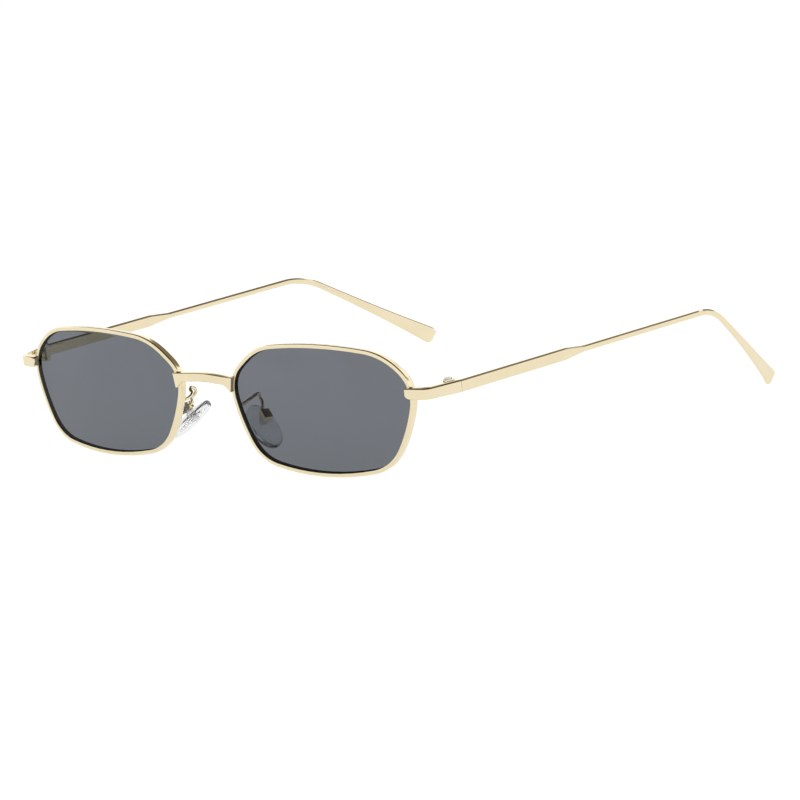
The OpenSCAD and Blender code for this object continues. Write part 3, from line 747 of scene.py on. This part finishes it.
def templeStations(sign):
    t = templeShape
    cuts = t["cuts"]
    bendLength, total = templeLengths(sign)
    slimStart = t["wideLength"] + t["taperLength"]
    earStart = t["length"] + bendLength
    tipStart = total - t["tipRound"]
    stops = [t["startRound"] * share for share in (*endShares, 1)]
    stops += evenStops(0, t["wideLength"], cuts["wide"])[1:]
    stops += evenStops(t["wideLength"], slimStart, cuts["taper"])
    stops += evenStops(slimStart, t["length"], cuts["slim"])
    stops += evenStops(t["length"], earStart, cuts["bend"])
    stops += evenStops(earStart, tipStart, cuts["ear"])
    for k in range(cuts["tip"] + 1):
        stops.append(tipStart + t["tipRound"] * math.sin(math.pi / 2 * k / cuts["tip"]))
    stations = []
    for s in stops:
        ear = max(0, s - t["length"]) / (bendLength + t["earLength"])
        trim = endTrim(s, t["startRound"]) + endTrim(total - s, t["tipEdge"])
        stations.append((s, sign, ear, templeHeight(s, ear, total - s), trim))
    return stations


def templeSection(station, across, up):
    s, sign, ear, height = station[:4]
    t = templeShape
    bendLength, total = templeLengths(sign)
    past = s - t["length"]
    turned = min(max(past, 0), bendLength) / t["bendR"]
    rest = max(past - bendLength, 0)
    droop = t["droop"] * (rest / t["earLength"]) ** 2
    run = min(s, t["length"]) + t["bendR"] * math.sin(turned) + rest * math.cos(turned)
    run -= droop * math.sin(turned)
    rise = -t["bendR"] * (1 - math.cos(turned)) - rest * math.sin(turned)
    rise -= droop * math.cos(turned)
    slant = t["slant"] * min(1, max(0, 1 - (total - s - t["tipRound"]) / t["slantFade"]))
    inset = (t["inset"] + sign * t["insetSkew"]) * ear ** t["insetPower"]
    x = -t["thick"] / 2 - inset + across * t["thick"] / 2
    y = run + up * height / 2 * (math.sin(turned) + slant * math.cos(turned))
    z = rise + up * height / 2 * (math.cos(turned) - slant * math.sin(turned))
    return Vector((x, y, z))


def templeMatrix(sign):
    t = templeShape
    fall = math.radians(t["fall"] + sign * t["twist"])
    # the start is set back, so that the tilted end of the steeper temple stays behind the seam
    startY = t["start"][1] + t["wideHeight"] / 2 * math.sin(math.radians(t["fall"] + t["twist"]))
    return (
        sideMatrix(sign)
        @ Matrix.Translation((t["start"][0], startY, t["start"][2]))
        @ Matrix.Rotation(math.radians(t["splay"]), 4, "Z")
        @ Matrix.Rotation(-fall, 4, "X")
    )


for side, sign in sides:
    t = templeShape
    finishPiece(
        makeBar(templeStations(sign), templeSection, t["thick"], t["edges"], t["crown"]),
        side + "_temple_strip", gold, side + "_temple",
        t["sharpAngle"], templeMatrix(sign),
    )
print("temples made")

# a clear soft pad, drawn at the origin and then turned to the nose
padShape = {
    "centre": (11.8, 8.405, -6.9),
    "lean": 6,
    "spread": 50,
    "turn": 12,
    "length": 12.8,
    "width": 7,
    "thick": 2.8,
    "boxOut": 2.5,
    "boxUp": 1,
    "boxLength": 2.6,
    "around": 64,
    "along": 40,
    "squareness": 0.75,
    "endPower": 2.6,
    "lengthShare": 0.997,
    "sharpAngle": 60,
}
padMatrix = (
    Matrix.Translation(padShape["centre"])
    @ Matrix.Rotation(math.radians(-padShape["turn"]), 4, "Z")
    @ Matrix.Rotation(math.radians(-padShape["spread"]), 4, "Y")
    @ Matrix.Rotation(math.radians(-padShape["lean"]), 4, "X")
)


def squared(c):
    # makes a round section a little square
    return math.copysign(abs(c) ** padShape["squareness"], c)


def makePad():
    bm = bmesh.new()
    p = padShape
    bmesh.ops.create_uvsphere(bm, u_segments=p["around"], v_segments=p["along"], radius=1)
    for v in bm.verts:
        t = max(-0.9999, min(0.9999, v.co.z))  # just short of the ends
        share = (1 - abs(t) ** p["endPower"]) ** 0.5
        angle = math.atan2(v.co.y, v.co.x)
        v.co.x = p["thick"] / 2 * share ** 0.5 * squared(math.cos(angle))
        v.co.y = p["width"] / 2 * share * squared(math.sin(angle))
        v.co.z = p["length"] / 2 * t * p["lengthShare"]
    return bm


# a round wire from the rim that loops back to the pad box and ends just above it
armShape = {
    "foot": (9.072, 4.3, -0.9),
    "steps": [
        (0, 0, 0), (0, 0.9, 0.05), (0.45, 2.9, 0.8),
        (1.55, 3.6, 1.6), (1.8, 4.5, 1.75), (1.35, 5.3, 0.8),
    ],
    "radius": 0.4,
    "tailOut": 0.3,
    "tailRise": 0.8,
    "tailGap": 0.06,
    "tailLean": (0.2, 0.2, 0.8),
    "roundSteps": 6,
    "curveSteps": 10,
    "sharpAngle": 50,
}


def makeArm():
    a = armShape
    points = [Vector(a["foot"]) + Vector(step) for step in a["steps"]]
    boxTop = padShape["boxUp"] + padShape["boxLength"] / 2
    out = padShape["boxOut"] + a["tailOut"]
    tail = padMatrix @ Vector((out, 0, boxTop + a["tailRise"]))
    end = padMatrix @ Vector((out, 0, boxTop + a["tailGap"]))
    points += [tail + Vector(a["tailLean"]), tail, end]
    curve = bpy.data.curves.new("arm_line", "CURVE")
    curve.dimensions = "3D"
    curve.bevel_depth = a["radius"]
    curve.bevel_resolution = a["roundSteps"]
    curve.use_fill_caps = True
    curve.resolution_u = a["curveSteps"]
    spline = curve.splines.new("BEZIER")
    spline.bezier_points.add(len(points) - 1)
    for point, place in zip(spline.bezier_points, points):
        point.co = place
        point.handle_left_type = point.handle_right_type = "AUTO"
    line = bpy.data.objects.new("arm_line", curve)
    bm = bmesh.new()
    bm.from_mesh(line.to_mesh())
    line.to_mesh_clear()
    bpy.data.objects.remove(line)
    bpy.data.curves.remove(curve)
    bmesh.ops.remove_doubles(bm, verts=bm.verts, dist=1e-4)
    return bm


for side, sign in sides:
    finishPiece(
        makePad(), side + "_pad_shell", padSilicone, side + "_nose_pad",
        padShape["sharpAngle"], sideMatrix(sign) @ padMatrix,
    )
    finishPiece(
        makeArm(), side + "_pad_wire", gold, side + "_pad_arm",
        armShape["sharpAngle"], sideMatrix(sign),
    )
print("pads and arms made")

# finish, slot and edge size of the turned and milled parts, which are copies with broken edges
hardware = {
    "upper_closing_block": (gold, "gold", 0.07),
    "lower_closing_block": (gold, "gold", 0.07),
    "closing_screw": (steel, "screws", 0.05),
    "front_hinge_leaf": (gold, "gold", 0.08),
    "temple_hinge_leaf": (gold, "gold", 0.08),
    "hinge_screw": (steel, "screws", 0.06),
    "pad_box": (gold, "gold", 0.3),
    "pad_screw": (steel, "screws", 0.08),
    "pad_core": (corePlastic, "core", 0.08),
}
# in degrees: what counts as flat, as a corner to round, and as a crisp edge after that
edgeAngles = {"flat": 2, "corner": 40, "sharp": 35}


def softenedCopy(node, edgeSize):
    bm = bmesh.new()
    bm.from_mesh(frame["nodes"][node].data)
    bmesh.ops.remove_doubles(bm, verts=bm.verts, dist=1e-6)
    flat, corner = math.radians(edgeAngles["flat"]), math.radians(edgeAngles["corner"])
    bmesh.ops.dissolve_limit(bm, angle_limit=flat, verts=bm.verts, edges=bm.edges)
    sharp = [e for e in bm.edges if e.is_manifold and e.calc_face_angle(0) > corner]
    roundEdges(bm, sharp, edgeSize / 1000, 2)  # the frame's nodes are in metres
    return bm


for side, sign in sides:
    for part, (material, slotName, edgeSize) in hardware.items():
        node = side + "_" + part
        finishPiece(
            softenedCopy(node, edgeSize), node + "_part", material, node,
            edgeAngles["sharp"],
        )
print("hardware made")


def addMath(nodes, links, operation, *values):
    step = nodes.new("ShaderNodeMath")
    step.operation = operation
    for socket, value in zip(step.inputs, values):
        if isinstance(value, float):
            socket.default_value = value
        else:
            links.new(value, socket)
    return step.outputs[0]


def makeSheet(bm, name, material):
    mesh = bpy.data.meshes.new(name)
    bm.to_mesh(mesh)
    bm.free()
    sheet = bpy.data.objects.new(name, mesh)
    scene.collection.objects.link(sheet)
    mesh.materials.append(material)
    return sheet


floorLook = {
    # the floor glows where it is seen, straight or through a lens, and a little less in mirrors
    "colour": (0.38, 0.38, 0.38),
    "rough": 0.9,
    "glow": 0.86,
    "mirrored": 0.88,
    "size": 8,
}


def makeFloor():
    material, nodes, links = newMaterial("pale_floor")
    shader = nodes["Principled BSDF"]
    shader.inputs["Base Color"].default_value = (*floorLook["colour"], 1)
    shader.inputs["Roughness"].default_value = floorLook["rough"]
    shader.inputs["Specular IOR Level"].default_value = 0
    rays = nodes.new("ShaderNodeLightPath").outputs
    seen = addMath(nodes, links, "MAXIMUM", rays["Is Camera Ray"], rays["Is Transmission Ray"])
    mirrored = addMath(nodes, links, "MULTIPLY", rays["Is Glossy Ray"], floorLook["mirrored"])
    either = addMath(nodes, links, "MAXIMUM", seen, mirrored)
    glow = addMath(nodes, links, "MULTIPLY", either, floorLook["glow"])
    shader.inputs["Emission Color"].default_value = (1, 1, 1, 1)
    links.new(glow, shader.inputs["Emission Strength"])
    bm = bmesh.new()
    bmesh.ops.create_grid(bm, x_segments=1, y_segments=1, size=floorLook["size"])
    floor = makeSheet(bm, "floor", material)


makeFloor()

worldLook = {
    # sine of the height above the horizon, and the brightness there
    "bands": [
        (-1, 1.0), (0.0, 1.0), (0.15, 1.05), (0.53, 1.2), (0.56, 0.5),
        (0.59, 0.27), (0.75, 0.18), (0.83, 0.1), (1, 0.02),
    ],
    "darkTone": (1, 0.8, 0.5),
    "fullLevel": 0.8,
}


def makeWorld():
    world = bpy.data.worlds.new("studio")
    scene.world = world
    world.use_nodes = True
    nodes, links = world.node_tree.nodes, world.node_tree.links
    coords = nodes.new("ShaderNodeTexCoord")
    parts = nodes.new("ShaderNodeSeparateXYZ")
    links.new(coords.outputs["Generated"], parts.inputs[0])
    height = addRange(nodes, links, parts.outputs["Z"], 0, 1, -1, 1)
    ramp = nodes.new("ShaderNodeValToRGB")
    links.new(height, ramp.inputs["Fac"])
    stops = ramp.color_ramp.elements
    for sine, _ in worldLook["bands"][1:-1]:
        stops.new((sine + 1) / 2)
    for stop, (sine, level) in zip(stops, worldLook["bands"]):
        stop.position = (sine + 1) / 2
        warm = max(0, 1 - level / worldLook["fullLevel"])  # the dark bands are a little warm
        stop.color = [level * (1 - warm * (1 - tone)) for tone in worldLook["darkTone"]] + [1]
    rays = nodes.new("ShaderNodeLightPath").outputs
    shown = addMix(nodes, links, rays["Is Camera Ray"], ramp.outputs["Color"], (1.0, 1.0, 1.0))
    links.new(shown, nodes["Background"].inputs["Color"])
    nodes["Background"].inputs["Strength"].default_value = 1


makeWorld()

cardLook = {
    # a dark card low behind the glasses, out of the picture, that the polished upper edges mirror
    "place": (-0.398, 2.833, 0.902),
    "size": (2.18, 0.88),
    "colour": (0.24, 0.19, 0.11),
}


def makeCard():
    material, nodes, links = newMaterial("dark_card")
    shader = nodes["Principled BSDF"]
    shader.inputs["Base Color"].default_value = (0, 0, 0, 1)
    shader.inputs["Specular IOR Level"].default_value = 0
    shader.inputs["Emission Color"].default_value = (*cardLook["colour"], 1)
    shader.inputs["Emission Strength"].default_value = 1
    place = Vector(cardLook["place"])
    width, height = cardLook["size"]
    bm = bmesh.new()
    bmesh.ops.create_grid(bm, x_segments=1, y_segments=1, size=0.5)
    bmesh.ops.scale(bm, vec=(width, height, 1), verts=bm.verts)
    facing = (-place).to_track_quat("Z", "Y").to_matrix().to_4x4()
    bmesh.ops.transform(bm, matrix=Matrix.Translation(place) @ facing, verts=bm.verts)
    card = makeSheet(bm, "dark_card", material)
    card.visible_camera = card.visible_transmission = False  # only mirrors show it
    card.visible_diffuse = card.visible_shadow = False


makeCard()

lampLook = [
    # name, place, aim, size, power
    ("overhead_soft", (-0.1, 0.05, 0.9), (0, 0, 0), 0.7, 1.4),
    ("side_soft", (0.8, -0.5, 0.5), (0, 0, 0.02), 0.4, 0.8),
]
for name, place, aim, size, power in lampLook:
    lamp = bpy.data.lights.new(name, "AREA")
    lamp.size = size
    lamp.energy = power
    holder = bpy.data.objects.new(name, lamp)
    holder.location = place
    holder.rotation_euler = (Vector(aim) - Vector(place)).to_track_quat("-Z", "Y").to_euler()
    holder.visible_glossy = False
    scene.collection.objects.link(holder)

cameraLook = {
    # in the glasses' own frame, in millimetres and degrees
    "place": (593.94, -611.185, 183.612),
    "aim": (0, 70.48, -15.9),
    "roll": -5.667,
    "lens": 168.01,
    "sensor": 36,
    "clip": (0.05, 30),
}
cameraData = bpy.data.cameras.new("camera")
cameraData.lens = cameraLook["lens"]
cameraData.sensor_width = cameraLook["sensor"]
cameraData.clip_start, cameraData.clip_end = cameraLook["clip"]
camera = bpy.data.objects.new("camera", cameraData)
place, aim = Vector(cameraLook["place"]), Vector(cameraLook["aim"])
camera.matrix_world = (
    Matrix.Translation(standMatrix @ place)
    @ Matrix.Rotation(math.radians(stand["lean"]), 4, "X")
    @ (aim - place).to_track_quat("-Z", "Y").to_matrix().to_4x4()
    @ Matrix.Rotation(math.radians(cameraLook["roll"]), 4, "Z")
)
scene.collection.objects.link(camera)
scene.camera = camera
print("floor, light and camera set")
